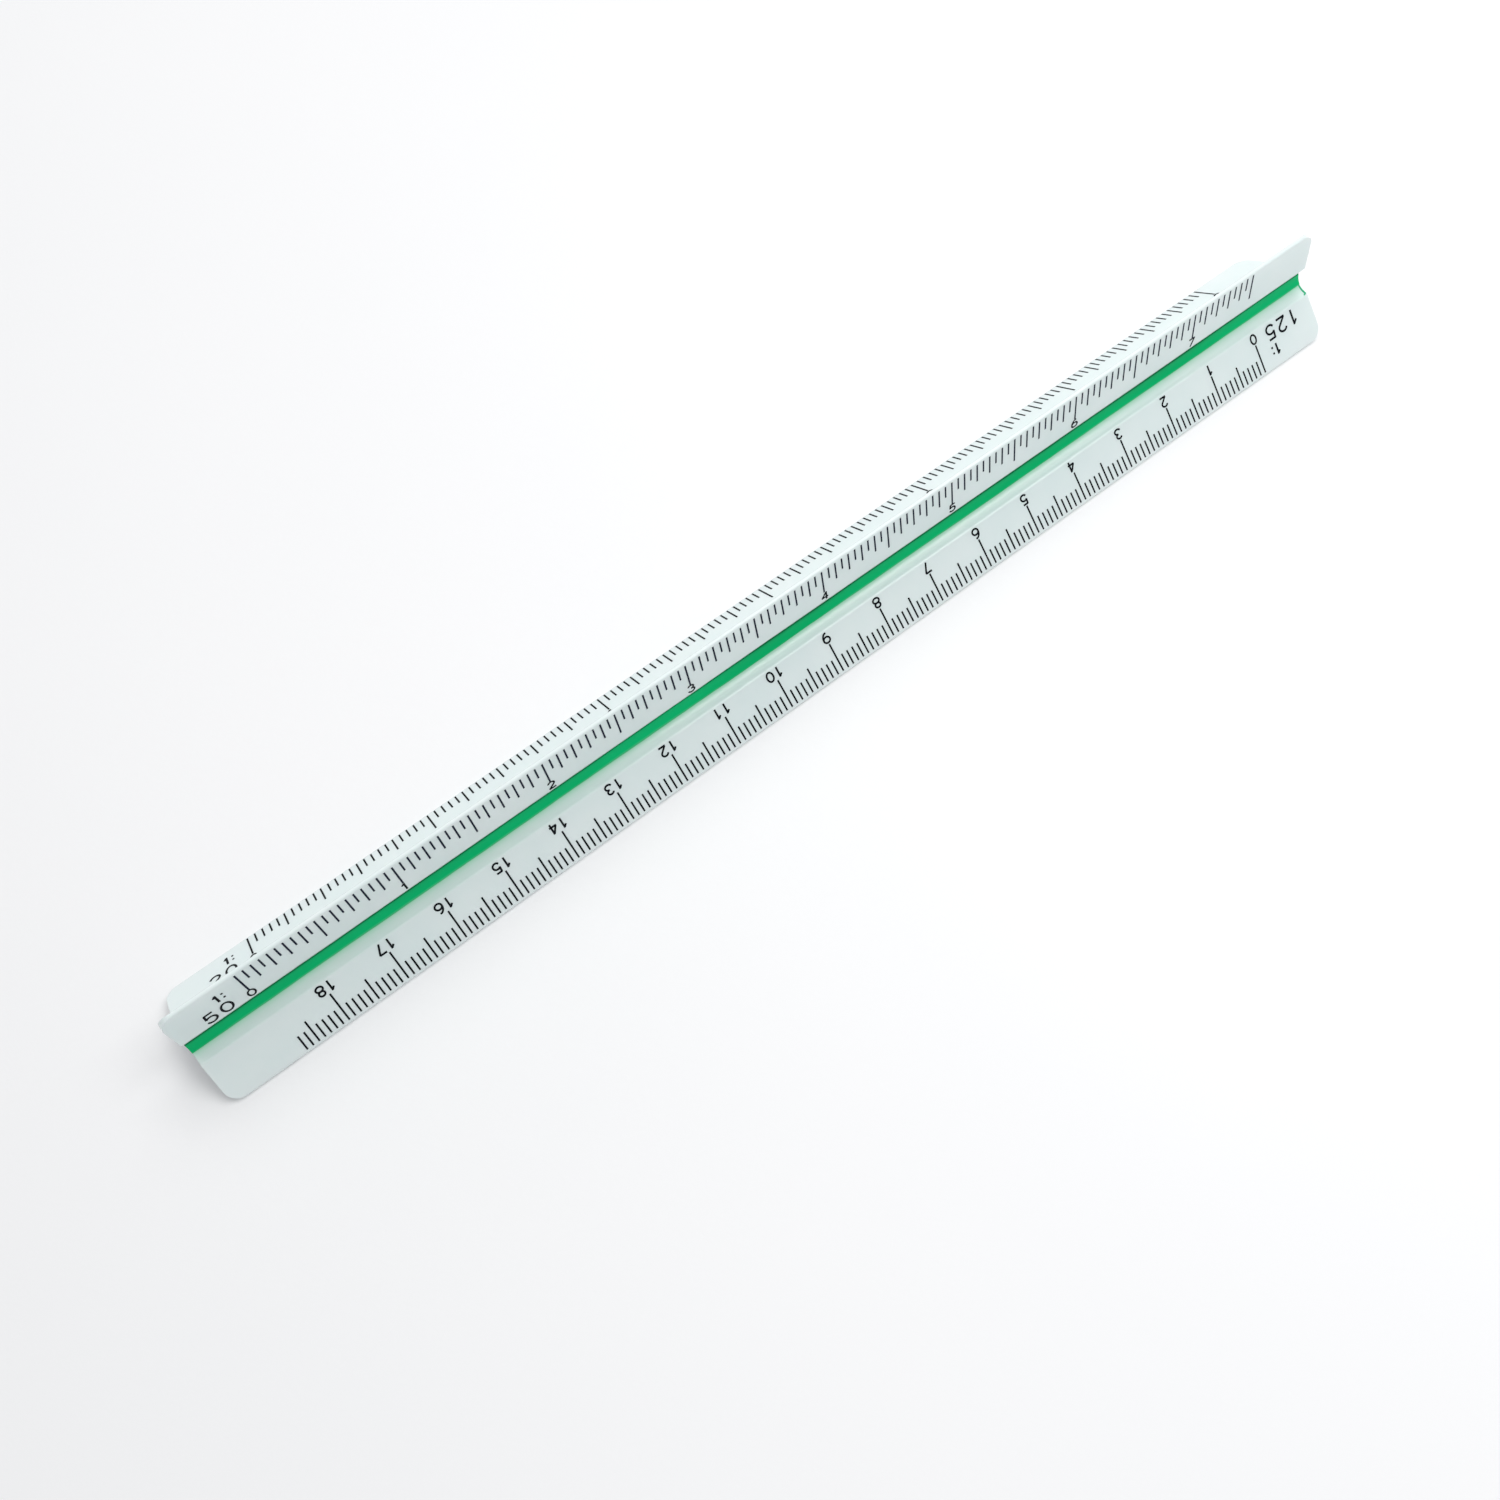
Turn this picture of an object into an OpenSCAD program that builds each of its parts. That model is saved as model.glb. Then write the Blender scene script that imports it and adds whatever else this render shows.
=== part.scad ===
// Triangular scale ruler, 15 cm. A three-armed star section with six printed
// scales, one on each facet, and a coloured fill in each of its three grooves.
// X runs along the ruler, Z is up, and the ruler lies on one of its three sides.

/* [Body] */
// length of the moulded bar
body_l = 170; // [162:0.1:200]
// width of the bar over two tips
side_w = 15.8; // [15:0.1:20]
// angle of each scale facet to its side
facet_a = 19; // [14:0.5:21]
// radius that rounds each tip
tip_round = 0.3; // [0.2:0.02:0.4]
// radius that rounds each arm's end corners
end_r = 2; // [0.5:0.1:3]

/* [Grooves] */
// distance of the groove floor from the bar's axis
floor_b = 1.25; // [0.9:0.05:1.6]
// distance from the side's middle to where the groove lip starts
lip_a = 2.1; // [1.6:0.05:2.6]
// radius of the groove lip
lip_r = 0.5; // [0.2:0.05:0.8]
// half the width of the coloured fill
fill_w = 0.85; // [0.4:0.05:1.4]
// thickness of the coloured fill
fill_t = 0.12; // [0.05:0.01:0.3]

/* [Scales] */
// distance from the tip's rounding to where the lines start
margin = 0.12; // [0.1:0.01:0.5]
// short line length
short_l = 2; // [1:0.1:2.5]
// middle line length
mid_l = 3; // [2:0.1:3.5]
// long line length
long_l = 4; // [3:0.1:4.4]
// line width
line_w = 0.22; // [0.08:0.01:0.3]
// thickness of the printed ink
ink_t = 0.02; // [0.01:0.005:0.05]

/* [Numerals] */
// numeral height
num_h = 1.5; // [1:0.1:1.6]
// numeral width
num_w = 1.12; // [0.7:0.02:1.2]
// step between the two digits of a numeral
num_step = 1.3; // [1.2:0.02:1.4]
// numeral stroke width
num_s = 0.24; // [0.1:0.01:0.28]
// ratio digit height
ratio_h = 2.15; // [1.5:0.05:2.2]
// ratio digit width
ratio_w = 1.6; // [1:0.05:1.65]
// step between the digits of a ratio
ratio_step = 2.05; // [1.7:0.05:2.2]
// ratio stroke width
ratio_s = 0.28; // [0.12:0.01:0.34]
// gap between the ratio and the zero line
ratio_gap = 2.1; // [1.5:0.1:3]
// how far each print lies off the bar's middle, in its reading direction
shift_125 = 0.4; // [-2:0.1:2]
// the same for 1:50
shift_50 = -0.6; // [-2:0.1:2]
// the same for 1:20
shift_20 = 1; // [-2:0.1:2]

/* [Hidden] */

scale_l = 150;
// half the width of the flat that each tip stands on, as an angle of its rounding
flat_a = 10;
// distance from the bar's axis to the centre of each tip's rounding
tip_c = (side_w / 2 - tip_round) / cos(30);
tip_ca = tip_c * cos(30);
tip_cb = tip_c * sin(30);
tip_r = tip_c + tip_round;
axis_z = tip_cb + tip_round * cos(flat_a);
arm_a = 30 - facet_a;
// where the facet leaves the tip's rounding, along and across the arm
facet_u = tip_c + tip_round * sin(arm_a);
facet_n = tip_round * cos(arm_a);
// groove corner, where the facets of neighbouring arms would meet
corner_b = tip_cb - tip_ca * tan(facet_a) + tip_round / cos(facet_a);
// lip circle centre, tangent to the facet
lip_ca = lip_a + lip_r * sin(facet_a);
lip_cb = corner_b + lip_a * tan(facet_a) - lip_r * cos(facet_a);
// groove circle centre, tangent to the lip circles and to the floor
groove_b = (lip_ca * lip_ca + lip_cb * lip_cb - pow(floor_b - lip_r, 2))
    / (2 * (lip_cb - floor_b + lip_r));
groove_r = groove_b - floor_b;
lip_end_a = atan2(groove_b - lip_cb, lip_ca);
fill_a = asin(fill_w / groove_r);
lip_n = 6;
wall_n = 4;
fill_n = 12;

body_c = [0.86, 0.89, 0.88];
ink_c = [0.06, 0.07, 0.11];

// points of a circular arc
function arc(cx, cy, r, from, to, n) =
    [for (i = [0:n]) let (t = from + (to - from) * i / n) [cx + r * cos(t), cy + r * sin(t)]];

// points of an elliptical arc
function oval(cx, cy, rx, ry, from, to, n) =
    [for (i = [0:n]) let (t = from + (to - from) * i / n) [cx + rx * cos(t), cy + ry * sin(t)]];

// one groove in its side's own axes: a along the side, b outwards
function groove_points() = concat(
    arc(-lip_ca, lip_cb, lip_r, 90 - facet_a, lip_end_a, lip_n),
    wall_points(-1),
    arc(0, groove_b, groove_r, -90 - fill_a, -90 + fill_a, fill_n),
    wall_points(1),
    arc(lip_ca, lip_cb, lip_r, 180 - lip_end_a, 90 + facet_a, lip_n));

// the groove wall between the lip and the fill, without its end points
function wall_points(side) = [for (i = [1:wall_n - 1])
    let (k = side < 0 ? wall_n - i : i)
    let (t = fill_a + (90 - lip_end_a - fill_a) * k / wall_n)
    [side * groove_r * sin(t), groove_b - groove_r * cos(t)]];

// from a side's axes to the section's, for the side facing direction t
function to_section(p, t) = [p[1] * cos(t) - p[0] * sin(t), p[1] * sin(t) + p[0] * cos(t)];

// the rounding of the tip at one end of a side, from its facet to a given angle
function tip_points(last, n) = concat(
    [for (t = [90 + facet_a, 90 + flat_a]) [tip_ca + tip_round * cos(t), tip_cb + tip_round * sin(t)]],
    arc(tip_ca, tip_cb, tip_round, 90 - flat_a, last, n));

// one side, from the tip it starts at to just short of the next tip
function side_points() = concat(
    [for (p = reverse(tip_points(30, 5))) [-p[0], p[1]]],
    groove_points(),
    tip_points(40, 4));

function reverse(p) = [for (i = [len(p) - 1:-1:0]) p[i]];

function section_points() =
    [for (i = [0:2]) for (p = side_points()) to_section(p, -90 + 120 * i)];

// a section drawn in Y and Z becomes a bar along X
module bar(length) {
    translate([-length / 2, 0, axis_z])
        rotate([90, 0, 90])
            linear_extrude(length)
                children();
}

// what is cut off one end corner of the upper arm
module corner_cut() {
    difference() {
        translate([body_l / 2 - end_r, -2, tip_r - end_r])
            cube([end_r + 1, 4, end_r + 1]);
        translate([body_l / 2 - end_r, -3, tip_r - end_r])
            rotate([-90, 0, 0])
                cylinder(h = 6, r = end_r, $fn = 48);
    }
}

module ruler_body() {
    color(body_c)
        difference() {
            bar(body_l)
                polygon(section_points());
            for (i = [0:2])
                translate([0, 0, axis_z])
                    rotate([120 * i, 0, 0]) {
                        corner_cut();
                        mirror([1, 0, 0])
                            corner_cut();
                    }
        }
}

// coloured fill in the groove of the side that faces direction t
module groove_fill(t) {
    bar(body_l)
        polygon([for (p = concat(
            arc(0, groove_b, groove_r, -90 - fill_a, -90 + fill_a, fill_n),
            arc(0, groove_b, groove_r - fill_t, -90 + fill_a, -90 - fill_a, fill_n)))
            to_section(p, t)]);
}

module groove_fill_green() {
    color([0.07, 0.64, 0.38])
        groove_fill(150);
}

module groove_fill_red() {
    color([0.80, 0.14, 0.14])
        groove_fill(30);
}

module groove_fill_blue() {
    color([0.12, 0.33, 0.72])
        groove_fill(-90);
}

// Print on a facet. Its origin is the zero line's start, x is the reading
// direction and y points to the tip. shift slides the print along the bar.
module print_on(arm, back, shift) {
    color(ink_c)
        translate([0, 0, axis_z])
            rotate([120 * arm, 0, 0])
                rotate([0, 0, back ? 180 : 0])
                    translate([shift - scale_l / 2, -facet_n, facet_u])
                        rotate([90 - arm_a, 0, 0])
                            linear_extrude(ink_t)
                                translate([0, -margin])
                                    children();
}

// scale lines: every one short, then middle and long ones at their steps
module lines(pitch, last, mid_step, long_step) {
    for (k = [0:last]) {
        len = k % long_step == 0 ? long_l : k % mid_step == 0 ? mid_l : short_l;
        translate([k * pitch - line_w / 2, -len])
            square([line_w, len]);
    }
}

// strokes of each digit, in a box one wide and one high
function strokes(d) =
    d == "1" ? [[[0.22, 0.74], [0.60, 1.00]], [[0.60, 1.06], [0.60, -0.06]]] :
    d == "2" ? [concat(oval(0.49, 0.73, 0.46, 0.27, 168, -38, 12), [[0.04, 0.04]]),
        [[-0.06, 0.00], [1.02, 0.00]]] :
    d == "3" ? [oval(0.46, 0.765, 0.42, 0.235, 165, -90, 12),
        oval(0.46, 0.265, 0.50, 0.265, 90, -165, 14)] :
    d == "4" ? [[[0.76, -0.06], [0.76, 1.04]], [[0.76, 1.00], [0.02, 0.28]],
        [[-0.06, 0.28], [1.04, 0.28]]] :
    d == "5" ? [[[0.92, 1.00], [0.12, 1.00]], [[0.16, 1.04], [0.08, 0.50]],
        oval(0.47, 0.32, 0.50, 0.32, 145, -155, 14)] :
    d == "6" ? [oval(0.66, 0.34, 0.66, 0.66, 180, 82, 8)] :
    d == "7" ? [[[-0.04, 1.00], [1.00, 1.00]], [[0.98, 1.02], [0.34, -0.06]]] :
    d == "9" ? [oval(0.34, 0.66, 0.66, 0.66, 0, -98, 8)] :
    [];

// closed loops of each digit, as centre and radii
function loops(d) =
    d == "0" ? [[0.50, 0.50, 0.49, 0.50]] :
    d == "6" ? [[0.50, 0.31, 0.50, 0.31]] :
    d == "8" ? [[0.50, 0.755, 0.42, 0.245], [0.50, 0.265, 0.50, 0.265]] :
    d == "9" ? [[0.50, 0.69, 0.50, 0.31]] :
    [];

function unit(v) = v / norm(v);

// direction of a line at point i
function along(p, i) = unit(p[min(i + 1, len(p) - 1)] - p[max(i - 1, 0)]);

// both edges of a line of width s
function ribbon(p, s) = concat(
    [for (i = [0:len(p) - 1]) p[i] + [-along(p, i)[1], along(p, i)[0]] * s / 2],
    [for (i = [len(p) - 1:-1:0]) p[i] - [-along(p, i)[1], along(p, i)[0]] * s / 2]);

// one digit with its lower left corner at the origin
module digit(d, w, h, s) {
    for (line = strokes(d))
        translate([s / 2, s / 2])
            polygon(ribbon([for (p = line) [p[0] * (w - s), p[1] * (h - s)]], s));
    for (o = loops(d))
        translate([s / 2 + o[0] * (w - s), s / 2 + o[1] * (h - s)])
            difference() {
                polygon(oval(0, 0, o[2] * (w - s) + s / 2, o[3] * (h - s) + s / 2, 0, 345, 23));
                polygon(oval(0, 0, o[2] * (w - s) - s / 2, o[3] * (h - s) - s / 2, 0, 345, 23));
            }
}

// a row of digits whose lower left corner is at the origin
module digits(word, w, h, s, pitch) {
    for (i = [0:len(word) - 1])
        translate([i * pitch, 0])
            digit(word[i], w, h, s);
}

// numbers under the long lines, with the ratio before the zero line
module numerals(word, count, pitch, gap) {
    for (k = [0:count]) {
        value = str(k);
        width = num_w + (len(value) - 1) * num_step;
        stem = value == "1" ? (0.5 - 0.6) * (num_w - num_s) : 0;
        translate([k * pitch - width / 2 + stem, -long_l - gap - num_h])
            digits(value, num_w, num_h, num_s, num_step);
    }
    ratio_x = -ratio_gap - ratio_w - (len(word) - 1) * ratio_step;
    translate([ratio_x, -5.4])
        digits(word, ratio_w, ratio_h, ratio_s, ratio_step);
    translate([-ratio_gap - 1.55, -2.7])
        ratio_mark();
}

// the one and colon above the ratio's digits
module ratio_mark() {
    digit("1", 1.1, 1.65, ratio_s);
    for (y = [0.25, 1.05])
        translate([1.25, y])
            square([0.26, 0.26]);
}

module lines_1_125() {
    print_on(1, true, shift_125)
        lines(0.8, 187, 5, 10);
}

module lines_1_50() {
    print_on(0, false, shift_50)
        lines(1, 150, 2, 10);
}

module lines_1_20() {
    print_on(2, false, shift_20)
        lines(1, 150, 5, 25);
}

module lines_1_100() {
    print_on(0, true, 0)
        lines(1, 150, 5, 10);
}

module lines_1_25() {
    print_on(1, false, 0)
        lines(0.8, 187, 5, 25);
}

module lines_1_75() {
    print_on(2, true, 0)
        lines(4 / 3, 112, 5, 10);
}

module numerals_1_125() {
    print_on(1, true, shift_125)
        numerals("125", 18, 8, 0.12);
}

module numerals_1_50() {
    print_on(0, false, shift_50)
        numerals("50", 7, 20, 0.02);
}

module numerals_1_20() {
    print_on(2, false, shift_20)
        numerals("20", 3, 50, 0.12);
}

module numerals_1_100() {
    print_on(0, true, 0)
        numerals("100", 15, 10, 0.12);
}

module numerals_1_25() {
    print_on(1, false, 0)
        numerals("25", 3, 40, 0.12);
}

module numerals_1_75() {
    print_on(2, true, 0)
        numerals("75", 11, 40 / 3, 0.12);
}

ruler_body();
groove_fill_green();
groove_fill_red();
groove_fill_blue();
lines_1_125();
lines_1_50();
lines_1_20();
lines_1_100();
lines_1_25();
lines_1_75();
numerals_1_125();
numerals_1_50();
numerals_1_20();
numerals_1_100();
numerals_1_25();
numerals_1_75();
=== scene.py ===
import math
import random

import bpy
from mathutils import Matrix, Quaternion, Vector


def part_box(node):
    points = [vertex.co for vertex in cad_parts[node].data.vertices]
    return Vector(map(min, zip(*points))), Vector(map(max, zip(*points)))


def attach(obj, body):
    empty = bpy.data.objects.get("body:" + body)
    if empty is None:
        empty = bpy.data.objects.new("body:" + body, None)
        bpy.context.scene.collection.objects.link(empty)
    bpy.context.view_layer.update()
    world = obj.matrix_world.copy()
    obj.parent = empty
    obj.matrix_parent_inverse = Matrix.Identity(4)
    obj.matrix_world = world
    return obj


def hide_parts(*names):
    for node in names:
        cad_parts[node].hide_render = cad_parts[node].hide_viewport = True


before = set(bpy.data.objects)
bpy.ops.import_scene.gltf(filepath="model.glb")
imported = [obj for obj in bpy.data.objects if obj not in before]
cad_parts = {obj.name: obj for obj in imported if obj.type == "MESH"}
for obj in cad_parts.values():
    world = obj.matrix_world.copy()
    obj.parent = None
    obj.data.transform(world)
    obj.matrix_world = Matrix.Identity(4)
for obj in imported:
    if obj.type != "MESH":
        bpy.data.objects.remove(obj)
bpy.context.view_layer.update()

# The CAD box and the ruler's driving sizes. Lengths are in millimetres up to
# the point where a mesh is made, which turns them into metres. The materials,
# the table, the lights and the camera are in metres.
MM = 0.001
LOW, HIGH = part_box("ruler_body")
LENGTH = (HIGH[0] - LOW[0]) / MM
SIDE_W = (HIGH[1] - LOW[1]) / MM

FACET_A = math.radians(19)  # a facet's slope
FLAT_A = math.radians(10)   # half the small flat on a tip, which the ruler rests on
TIP_ROUND = 0.3
END_R = 2.0                 # the rounding of the arms' corners at the ends
FLOOR_B = 1.25              # from the axis to a groove's floor
LIP_A = 2.1                 # from a side's middle to where its facet starts
LIP_R = 0.5
FILL_W = 0.85               # half the width of the paint in a groove
FILL_T = 0.12               # the paint's thickness in its middle
FILL_EDGE = 0.25            # the share of that thickness left at its edges
FILL_BED = 0.02             # how far it reaches into the plastic
FILL_BACK = 0.01            # how far it stops short of the bar's ends
FILL_WANDER = 0.05          # how far its edges wander, as a share of its half width
END_EDGE = 0.1              # the rounding of the end faces' edges
SKIN = 0.02                 # how far the new meshes stay inside the CAD at each end

# Painted glow: how far the paint's colour, standing in for light carried through
# the translucent plastic, reaches into the plastic beside a fill, and how strongly
# before and past a side's middle.
GLOW_REACH = 0.42
GLOW_BEFORE = 0.35
GLOW_PAST = 0.75

# The paint run at the +X end: where it leaves the fill, its distance from the
# end, its hook's length and how far that moves out and down, and its radius.
RUN_FROM = 0.75
RUN_BACK = 0.14
RUN_HOOK = 0.55
RUN_OUT = 0.35
RUN_DOWN = 0.2
RUN_R = 0.13

# How many steps each curve is drawn in.
FLOOR_STEPS = 22
LIP_STEPS = 12
FACET_STEPS = 8
FACET_END_STEPS = 24
TIP_DEGREES = (100, 80, 70, 60, 50, 42, 34)
CORNER_STEPS = 16
EDGE_STEPS = 4
BAR_STEPS = 40
FILL_STEPS = 240
FILL_ACROSS = 16
RUN_STEPS = 10
HOOK_STEPS = 5
TUBE_SIDES = 10

# The paint edges' wander: its periods, and about the sum of their strengths.
WAVE_PERIODS = (41.0, 17.3, 7.1, 2.9)
WAVE_SUM = 2.2

# The tips: a rounding centre at (TIP_CA, TIP_CB) in each side's own axes.
TIP_CA = SIDE_W / 2 - TIP_ROUND
TIP_CB = TIP_CA * math.tan(math.pi / 6)
TIP_R = math.hypot(TIP_CA, TIP_CB) + TIP_ROUND
AXIS_Z = TIP_CB + TIP_ROUND * math.cos(FLAT_A)

# The groove: lip circles tangent to the facets, and one circle for the floor.
CORNER_B = TIP_CB - TIP_CA * math.tan(FACET_A) + TIP_ROUND / math.cos(FACET_A)
LIP_CA = LIP_A + LIP_R * math.sin(FACET_A)
LIP_CB = CORNER_B + LIP_A * math.tan(FACET_A) - LIP_R * math.cos(FACET_A)
GROOVE_B = ((LIP_CA ** 2 + LIP_CB ** 2 - (FLOOR_B - LIP_R) ** 2)
            / (2 * (LIP_CB - FLOOR_B + LIP_R)))
GROOVE_R = GROOVE_B - FLOOR_B
LIP_END = math.atan2(GROOVE_B - LIP_CB, LIP_CA)
FILL_A = math.asin(FILL_W / GROOVE_R)

# The directions that the three sides face, in the Y-Z plane.
SIDES = {"near": math.radians(150), "far": math.radians(30), "base": math.radians(-90)}


def spread(start, stop, count):
    """Even steps from start to stop, both included."""
    return [start + (stop - start) * i / count for i in range(count + 1)]


def wave(x, seed):
    """A smooth wander between about -1 and 1 along the ruler."""
    rng = random.Random(seed)
    total = 0.0
    for period in WAVE_PERIODS:
        turn = math.sin(2 * math.pi * (x / period + rng.random()))
        total += turn * (period / WAVE_PERIODS[0]) ** 0.5
    return total / WAVE_SUM


def to_section(a, b, t):
    """From a side's own axes, a along it and b outwards, to Y and Z."""
    return (b * math.cos(t) - a * math.sin(t), b * math.sin(t) + a * math.cos(t) + AXIS_Z)


def half_side():
    """One side from its middle to its tip, as (a, b)."""
    points = [(GROOVE_R * math.sin(t), GROOVE_B - GROOVE_R * math.cos(t))
              for t in spread(0, math.pi / 2 - LIP_END, FLOOR_STEPS)]
    points += [(LIP_CA + LIP_R * math.cos(t), LIP_CB + LIP_R * math.sin(t))
               for t in spread(math.pi - LIP_END, math.pi / 2 + FACET_A, LIP_STEPS)[1:]]
    facet_end = TIP_CA - TIP_ROUND * math.sin(FACET_A)
    corner = facet_end - END_R
    along = spread(LIP_A, corner, FACET_STEPS)[1:] + spread(corner, facet_end, FACET_END_STEPS)[1:]
    points += [(a, CORNER_B + a * math.tan(FACET_A)) for a in along]
    for degrees in TIP_DEGREES:
        t = math.radians(degrees)
        points.append((TIP_CA + TIP_ROUND * math.cos(t), TIP_CB + TIP_ROUND * math.sin(t)))
    return points


# A side runs from tip to tip, and its middle is the point at index MIDDLE.
HALF = half_side()
MIDDLE = len(HALF) - 1
SIDE_COUNT = 2 * MIDDLE + 1


def section():
    """The whole section, anticlockwise, as (y, z, inward y, inward z, arm direction)."""
    points = []
    for t in (SIDES["base"], SIDES["far"], SIDES["near"]):
        for a, b in [(-a, b) for a, b in reversed(HALF)][:-1] + HALF:
            points.append((*to_section(a, b, t), t + math.copysign(math.pi / 3, a)))
    ring = []
    for i, (y, z, arm) in enumerate(points):
        before, after = points[i - 1], points[(i + 1) % len(points)]
        run_y, run_z = after[0] - before[0], after[1] - before[1]
        size = math.hypot(run_y, run_z)
        ring.append((y, z, -run_z / size, run_y / size, arm))
    return ring


RING = section()


def cut_ring(limit, inset):
    """The section drawn in by a small inset, with its arms cut at a height."""
    cut = []
    for y, z, in_y, in_z, arm in RING:
        y, z = y + inset * in_y, z + inset * in_z
        up = y * math.cos(arm) + (z - AXIS_Z) * math.sin(arm)
        drop = max(0.0, up - limit + inset)
        cut.append((y - drop * math.cos(arm), z - drop * math.sin(arm)))
    return cut


def end_stations():
    """From the straight part to the end face: (distance from the end, arm limit, inset)."""
    stations = []
    for t in spread(0, math.pi / 2, CORNER_STEPS):
        back = END_R * (1 - math.sin(t))
        if back > END_EDGE:
            stations.append((back, TIP_R - END_R * (1 - math.cos(t)), 0.0))
    for t in spread(0, math.pi / 2, EDGE_STEPS):
        back = END_EDGE * (1 - math.sin(t))
        limit = TIP_R - END_R + math.sqrt(max(0.0, END_R ** 2 - (END_R - back) ** 2))
        stations.append((back, limit, END_EDGE * (1 - math.cos(t))))
    return stations


def make_mesh(name, verts, faces, smooth=30):
    """A piece on the root body, with edges sharper than smooth degrees left sharp."""
    mesh = bpy.data.meshes.new(name)
    mesh.from_pydata([(x * MM, y * MM, z * MM) for x, y, z in verts], [], faces)
    mesh.validate()
    mesh.set_sharp_from_angle(angle=math.radians(smooth))
    mesh.update()
    piece = bpy.data.objects.new(name, mesh)
    bpy.context.collection.objects.link(piece)
    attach(piece, "root")
    return piece


def loft(rings):
    """Vertices and faces of a closed bar through rings of equal length."""
    count = len(rings[0])
    verts = [v for ring in rings for v in ring]
    faces = []
    for here in range(0, len(verts) - count, count):
        after = here + count
        for i in range(count):
            j = (i + 1) % count
            faces.append((here + i, here + j, after + j, after + i))
    return verts, faces


def end_face():
    """One end of the bar as a strip across each arm and a triangle between them."""
    middles = tuple(side * SIDE_COUNT + MIDDLE for side in range(3))
    faces = [middles]
    for side, one in enumerate(middles):
        other = middles[(side + 1) % 3]
        for i in range(MIDDLE):
            faces.append((one + i, one + i + 1, other - i - 1, other - i))
    return faces


def store(piece, name, values):
    """Keep one number for each vertex, for the material to read."""
    layer = piece.data.attributes.new(name, "FLOAT", "POINT")
    for item, value in zip(layer.data, values):
        item.value = value


def painted_glow_values():
    """How much painted glow the fill gives the plastic beside it, standing in for light carried
    through the translucent plastic, more on the half past each side's middle.

    That is the lower half of the near side and the upper half of the far one.
    """
    values = []
    for i in range(len(RING)):
        along = i % SIDE_COUNT
        a, b = HALF[abs(along - MIDDLE)]
        beyond = math.hypot(a, b - FLOOR_B) - FILL_W
        strength = GLOW_PAST if along > MIDDLE else GLOW_BEFORE
        values.append(strength * math.exp(-max(0.0, beyond) / GLOW_REACH))
    return values


PAINTED_GLOW = painted_glow_values()


def body():
    """The bar: the section from end to end, with rounded corners and edges at both ends."""
    half = LENGTH / 2 - SKIN
    ends = end_stations()
    stations = [(-half + back, limit, inset) for back, limit, inset in reversed(ends)]
    straight = half - END_R
    stations += [(x, TIP_R, 0.0) for x in spread(-straight, straight, BAR_STEPS)[1:-1]]
    stations += [(half - back, limit, inset) for back, limit, inset in ends]
    rings = [[(x, y, z) for y, z in cut_ring(limit, inset)] for x, limit, inset in stations]
    verts, faces = loft(rings)
    last = len(verts) - len(RING)
    faces += [face[::-1] for face in end_face()]
    faces += [tuple(i + last for i in face) for face in end_face()]
    piece = make_mesh("ruler_bar", verts, faces)
    # Painted glow beside each fill, standing in for light carried through the translucent plastic.
    glowing = range(len(RING), last)  # all but the rings round the two end faces
    values = [PAINTED_GLOW[i % len(RING)] if i in glowing else 0.0 for i in range(len(verts))]
    store(piece, "painted_glow", values)
    return piece


def fill(name, side, seed):
    """The paint on a groove's floor, with slightly uneven edges."""
    half = LENGTH / 2 - SKIN - FILL_BACK
    width = FILL_ACROSS + 1
    rings = []
    for x in spread(-half, half, FILL_STEPS):
        low = -FILL_A * (1 + FILL_WANDER * wave(x, seed))
        high = FILL_A * (1 + FILL_WANDER * wave(x, seed + 1))
        top, under = [], []
        for k in spread(0, 1, FILL_ACROSS):
            t = low + (high - low) * k
            crown = math.sqrt(max(0.0, 1 - (2 * k - 1) ** 4))
            depth = FILL_T * (FILL_EDGE + (1 - FILL_EDGE) * crown)
            for layer, r in ((top, GROOVE_R - depth), (under, GROOVE_R + FILL_BED)):
                y, z = to_section(r * math.sin(t), GROOVE_B - r * math.cos(t), SIDES[side])
                layer.append((x, y, z))
        rings.append(under + top[::-1])
    verts, faces = loft(rings)
    across = spread(-1, 1, FILL_ACROSS)
    across += across[::-1]
    last = len(verts) - 2 * width
    for k in range(width - 1):
        face = (k, k + 1, 2 * width - 2 - k, 2 * width - 1 - k)
        faces += [face[::-1], tuple(i + last for i in face)]
    # These rings run the other way round from the bar's, so every face is turned.
    piece = make_mesh(name, verts, [face[::-1] for face in faces])
    store(piece, "across", [across[i % (2 * width)] for i in range(len(verts))])
    return piece


def tube(name, path, radius):
    """A round bead of paint along a path, tapering at both ends."""
    rings = []
    for i, point in enumerate(path):
        here = Vector(point)
        before, after = path[max(i - 1, 0)], path[min(i + 1, len(path) - 1)]
        run = (Vector(after) - Vector(before)).normalized()
        across = run.cross(Vector((0.3, 0.5, 0.8))).normalized()
        over = run.cross(across)
        size = radius * math.sqrt(max(0.04, 1 - (2 * i / (len(path) - 1) - 1) ** 4))
        rings.append([tuple(here + size * (across * math.cos(t) + over * math.sin(t)))
                      for t in spread(0, 2 * math.pi, TUBE_SIDES)[:-1]])
    verts, faces = loft(rings)
    last = len(verts) - TUBE_SIDES
    faces += [tuple(range(TUBE_SIDES - 1, -1, -1)), tuple(range(last, last + TUBE_SIDES))]
    return make_mesh(name, verts, faces, smooth=60)


def paint_run():
    """Green paint that ran over the groove's lower edge at the +X end."""
    end = LENGTH / 2 - SKIN - RUN_BACK
    path = []
    for t in spread(RUN_FROM * FILL_A, math.pi / 2 - LIP_END, RUN_STEPS):
        a, b = GROOVE_R * math.sin(t), GROOVE_B - GROOVE_R * math.cos(t)
        y, z = to_section(a, b, SIDES["near"])
        path.append((end, y, z))
    for back in spread(0, RUN_HOOK, HOOK_STEPS)[1:]:
        path.append((end - back, y - RUN_OUT * back, z - RUN_DOWN * back))
    return tube("green_paint_run", path, RUN_R)


# ---------------------------------------------------------------- materials

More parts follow.
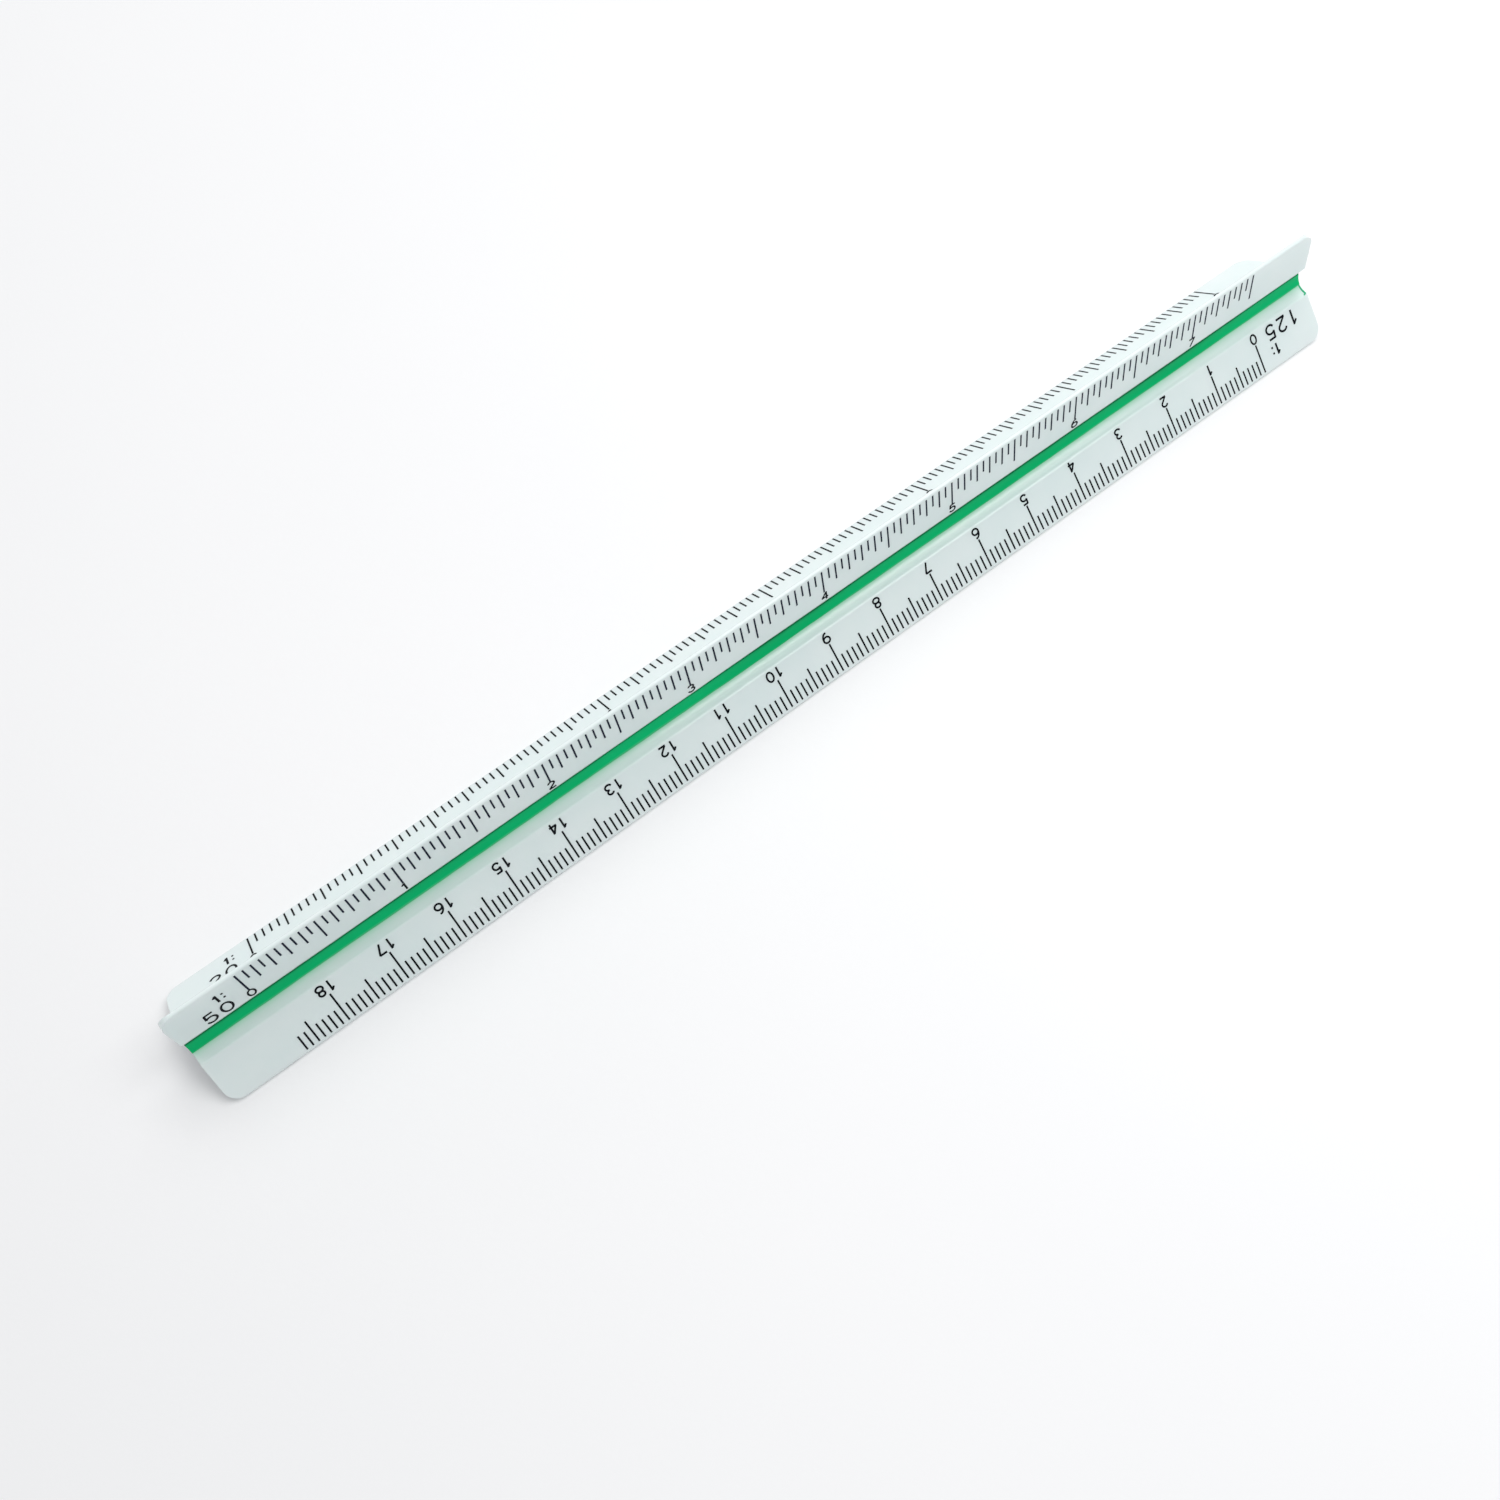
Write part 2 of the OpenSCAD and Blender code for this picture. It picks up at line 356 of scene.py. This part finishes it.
class Nodes:
    """A short way to build one material's node tree."""

    def __init__(self, name):
        self.material = bpy.data.materials.new(name)
        self.material.use_nodes = True
        self.tree = self.material.node_tree
        self.shader = self.tree.nodes["Principled BSDF"]
        self.place = self.add("ShaderNodeTexCoord").outputs["Object"]

    def add(self, kind, **settings):
        node = self.tree.nodes.new(kind)
        for key, value in settings.items():
            setattr(node, key, value)
        return node

    def link(self, source, target):
        self.tree.links.new(source, target)

    def scaled(self, x, y, z):
        node = self.add("ShaderNodeMapping")
        node.inputs["Scale"].default_value = (x, y, z)
        self.link(self.place, node.inputs["Vector"])
        return node.outputs["Vector"]

    def noise(self, scale, detail=3.0, rough=0.5, place=None):
        node = self.add("ShaderNodeTexNoise")
        node.inputs["Scale"].default_value = scale
        node.inputs["Detail"].default_value = detail
        node.inputs["Roughness"].default_value = rough
        self.link(place or self.place, node.inputs["Vector"])
        return node.outputs["Fac"]

    def stored(self, name):
        """The number that store() kept for each vertex."""
        return self.add("ShaderNodeAttribute", attribute_name=name).outputs["Fac"]

    def ramp(self, source, low, high, start, stop):
        """A value that goes from start to stop while its source goes from low to high."""
        node = self.add("ShaderNodeMapRange")
        limits = {"From Min": low, "From Max": high, "To Min": start, "To Max": stop}
        for key, value in limits.items():
            node.inputs[key].default_value = value
        self.link(source, node.inputs["Value"])
        return node.outputs["Result"]

    def mix(self, factor, first, second):
        """Two colours mixed: sockets 6 and 7, and output 2, are the node's colour ones."""
        node = self.add("ShaderNodeMix", data_type="RGBA")
        self.link(factor, node.inputs["Factor"])
        for socket, value in ((node.inputs[6], first), (node.inputs[7], second)):
            if isinstance(value, tuple):
                socket.default_value = (*value, 1.0)
            else:
                self.link(value, socket)
        return node.outputs[2]

    def maths(self, operation, first, second):
        node = self.add("ShaderNodeMath", operation=operation)
        for socket, value in zip(node.inputs, (first, second)):
            if isinstance(value, (int, float)):
                socket.default_value = value
            else:
                self.link(value, socket)
        return node.outputs["Value"]

    def bump(self, height, distance):
        node = self.add("ShaderNodeBump")
        node.inputs["Distance"].default_value = distance
        self.link(height, node.inputs["Height"])
        self.link(node.outputs["Normal"], self.shader.inputs["Normal"])

    def set(self, **values):
        """Fill the shader's sockets: numbers and tuples as they are, the rest by links."""
        for key, value in values.items():
            socket = self.shader.inputs[key.replace("_", " ")]
            if isinstance(value, (int, float, tuple)):
                socket.default_value = value
            else:
                self.link(value, socket)


def specks(nodes, scale, size, share):
    """A mask of a few round specks, at random places."""
    cells = nodes.add("ShaderNodeTexVoronoi")
    cells.inputs["Scale"].default_value = scale
    nodes.link(nodes.place, cells.inputs["Vector"])
    split = nodes.add("ShaderNodeSeparateColor")
    nodes.link(cells.outputs["Color"], split.inputs["Color"])
    near = nodes.maths("LESS_THAN", cells.outputs["Distance"], size)
    chosen = nodes.maths("LESS_THAN", split.outputs["Red"], share)
    return nodes.maths("MULTIPLY", near, chosen)


def plastic():
    """Milky white moulded plastic: faintly green, glossy, softly mottled, with a painted glow of
    each fill's colour beside its groove.
    """
    n = Nodes("milky_plastic")
    cloud = n.ramp(n.noise(130, 3, 0.55), 0.36, 0.64, 0, 1)
    tint = n.mix(cloud, (0.715, 0.81, 0.805), (0.745, 0.825, 0.82))
    # Painted glow: the fill's colour mixed into the plastic beside each groove, standing in for
    # light carried through the translucent plastic.
    tint = n.mix(n.stored("painted_glow"), tint, side_glow_tint(n))
    dirt = n.ramp(specks(n, 330, 0.035, 0.06), 0, 1, 0, 0.8)
    n.set(Base_Color=n.mix(dirt, tint, (0.05, 0.06, 0.07)),
          Roughness=n.ramp(n.noise(900, 2), 0.35, 0.7, 0.18, 0.24),
          IOR=1.49, Subsurface_Weight=0.3, Subsurface_Scale=0.0012,
          Subsurface_Radius=(1.0, 1.1, 1.0))
    n.bump(n.maths("ADD", n.maths("MULTIPLY", cloud, 6.0), n.noise(2600, 2)), 0.000002)
    return n.material


def side_glow_tint(nodes):
    """The pale fill colour of the painted glow, chosen by which of the three sides a point is on.
    """
    split = nodes.add("ShaderNodeSeparateXYZ")
    nodes.link(nodes.place, split.inputs["Vector"])
    far = nodes.maths("GREATER_THAN", split.outputs["Y"], 0.0)
    tan_30 = 0.577
    slope = nodes.maths("MULTIPLY", nodes.maths("ABSOLUTE", split.outputs["Y"], 0.0), tan_30)
    base = nodes.maths("LESS_THAN", nodes.maths("ADD", split.outputs["Z"], slope), AXIS_Z * MM)
    upper = nodes.mix(far, (0.20, 0.74, 0.42), (0.80, 0.36, 0.34))
    return nodes.mix(base, upper, (0.36, 0.44, 0.82))


def paint(name, colour, shade):
    """Fill paint with little gloss: painted shade along one edge, under a lip of the groove, and
    paler along the other.

    On the near side the shaded edge is the upper one, and on the far side the lower.
    """
    n = Nodes(name)
    flow = n.noise(260, 3, 0.55, n.scaled(0.15, 1, 1))
    across = n.maths("ADD", n.stored("across"), n.ramp(flow, 0.3, 0.7, -0.12, 0.12))
    tone = n.mix(n.ramp(flow, 0.3, 0.7, 0, 1), shade, colour)
    dark = tuple(0.3 * c for c in colour)
    pale = tuple(0.7 * c + 0.14 for c in colour)
    # Painted shade: the fill darkened along the edge under the groove's lip.
    tone = n.mix(n.ramp(across, -0.98, -0.62, 1, 0), tone, dark)
    n.set(Base_Color=n.mix(n.ramp(across, 0.72, 1.0, 0, 0.6), tone, pale),
          Roughness=n.ramp(n.noise(700), 0.3, 0.7, 0.30, 0.45),
          IOR=1.45, Specular_IOR_Level=0.08)
    n.bump(flow, 0.00002)
    return n.material


def ink(name, colour, worn):
    """Printed ink: dark, with faint worn spots where the plastic shows."""
    n = Nodes(name)
    wear = n.ramp(n.noise(1900, 3, 0.65), 0.62, 0.85, 0, 0.4)
    n.set(Base_Color=n.mix(wear, colour, worn),
          Roughness=n.ramp(n.noise(1200), 0.3, 0.7, 0.5, 0.65),
          IOR=1.45, Specular_IOR_Level=0.12)
    n.bump(n.noise(3000, 2), 0.000003)
    return n.material


def table():
    """The matt, nearly white table under the ruler."""
    n = Nodes("pale_table")
    n.set(Base_Color=n.mix(n.noise(14, 3), (0.86, 0.865, 0.875), (0.885, 0.885, 0.89)),
          Roughness=0.75, Specular_IOR_Level=0.2)
    n.bump(n.noise(1800, 2), 0.00001)
    return n.material


# ---------------------------------------------------------------- the pieces

bar = body()
bar.data.materials.append(plastic())
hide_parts("ruler_body")

# Each groove's side, its paint's name and two tones, and the seed of its edges.
STRIPES = (
    ("near", "green", (0.002, 0.52, 0.18), (0.001, 0.45, 0.145), 11),
    ("far", "red", (0.55, 0.02, 0.02), (0.46, 0.015, 0.015), 23),
    ("base", "blue", (0.015, 0.09, 0.45), (0.012, 0.07, 0.38), 37))
for side, colour, tone, shade, seed in STRIPES:
    stripe = fill("stripe_" + colour, side, seed)
    stripe.data.materials.append(paint(colour + "_paint", tone, shade))
    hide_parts("groove_fill_" + colour)

bead = paint_run()
bead.data.materials.append(paint("thin_green_paint", (0.07, 0.55, 0.30), (0.04, 0.47, 0.23)))

black = ink("black_ink_print", (0.002, 0.003, 0.006), (0.07, 0.08, 0.10))
navy = ink("navy_ink_print", (0.008, 0.012, 0.032), (0.10, 0.12, 0.17))
for name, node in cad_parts.items():
    if name.startswith(("lines_", "numerals_")):
        node.data.materials.clear()
        node.data.materials.append(navy if name == "lines_1_50" else black)

# ---------------------------------------------------------------- the stage

FLOOR_HALF = 3.0
corners = [(x * FLOOR_HALF, y * FLOOR_HALF, 0) for x, y in ((-1, -1), (1, -1), (1, 1), (-1, 1))]
floor_mesh = bpy.data.meshes.new("table")
floor_mesh.from_pydata(corners, [], [(0, 1, 2, 3)])
floor = bpy.data.objects.new("table", floor_mesh)
bpy.context.collection.objects.link(floor)
floor.data.materials.append(table())


def softbox(name, place, aim, width, height, power, colour=(1.0, 1.0, 1.0)):
    """A rectangular light at a place, turned towards its aim."""
    light = bpy.data.lights.new(name, "AREA")
    light.shape = "RECTANGLE"
    light.size = width
    light.size_y = height
    light.energy = power
    light.color = colour
    lamp = bpy.data.objects.new(name, light)
    bpy.context.collection.objects.link(lamp)
    lamp.location = place
    lamp.rotation_euler = (Vector(aim) - Vector(place)).to_track_quat("-Z", "Y").to_euler()


softbox("top_softbox", (0.20, 0.40, 0.75), (0, 0, 0),
        width=0.8, height=0.6, power=2.75, colour=(1.0, 0.995, 0.99))
softbox("window_strip", (0.30, 0.24, 0.60), (0.02, 0, 0), width=0.42, height=0.05, power=0.5)
softbox("overhead_softbox", (0.125, -0.07, 0.29), (0.125, -0.05, 0),
        width=0.19, height=0.14, power=0.34)

world = bpy.data.worlds.new("studio")
world.use_nodes = True
sky = world.node_tree.nodes["Background"]
sky.inputs["Color"].default_value = (0.985, 0.99, 1.0, 1.0)
sky.inputs["Strength"].default_value = 0.56
bpy.context.scene.world = world
bpy.context.scene.view_settings.view_transform = "Standard"

CAMERA_AT = Vector((-51.9, -64.8, 175.0)) * MM
CAMERA_AIM = Vector((-14.0, -10.5, 5.0)) * MM
CAMERA_ROLL = math.radians(-2.3)
lens = bpy.data.cameras.new("camera")
lens.sensor_width = 36.0
lens.lens = 36.86
lens.clip_start = 0.005
camera = bpy.data.objects.new("camera", lens)
bpy.context.collection.objects.link(camera)
camera.location = CAMERA_AT
look = (CAMERA_AIM - CAMERA_AT).to_track_quat("-Z", "Y") @ Quaternion((0, 0, 1), CAMERA_ROLL)
camera.rotation_euler = look.to_euler()
bpy.context.scene.camera = camera

bpy.context.view_layer.update()
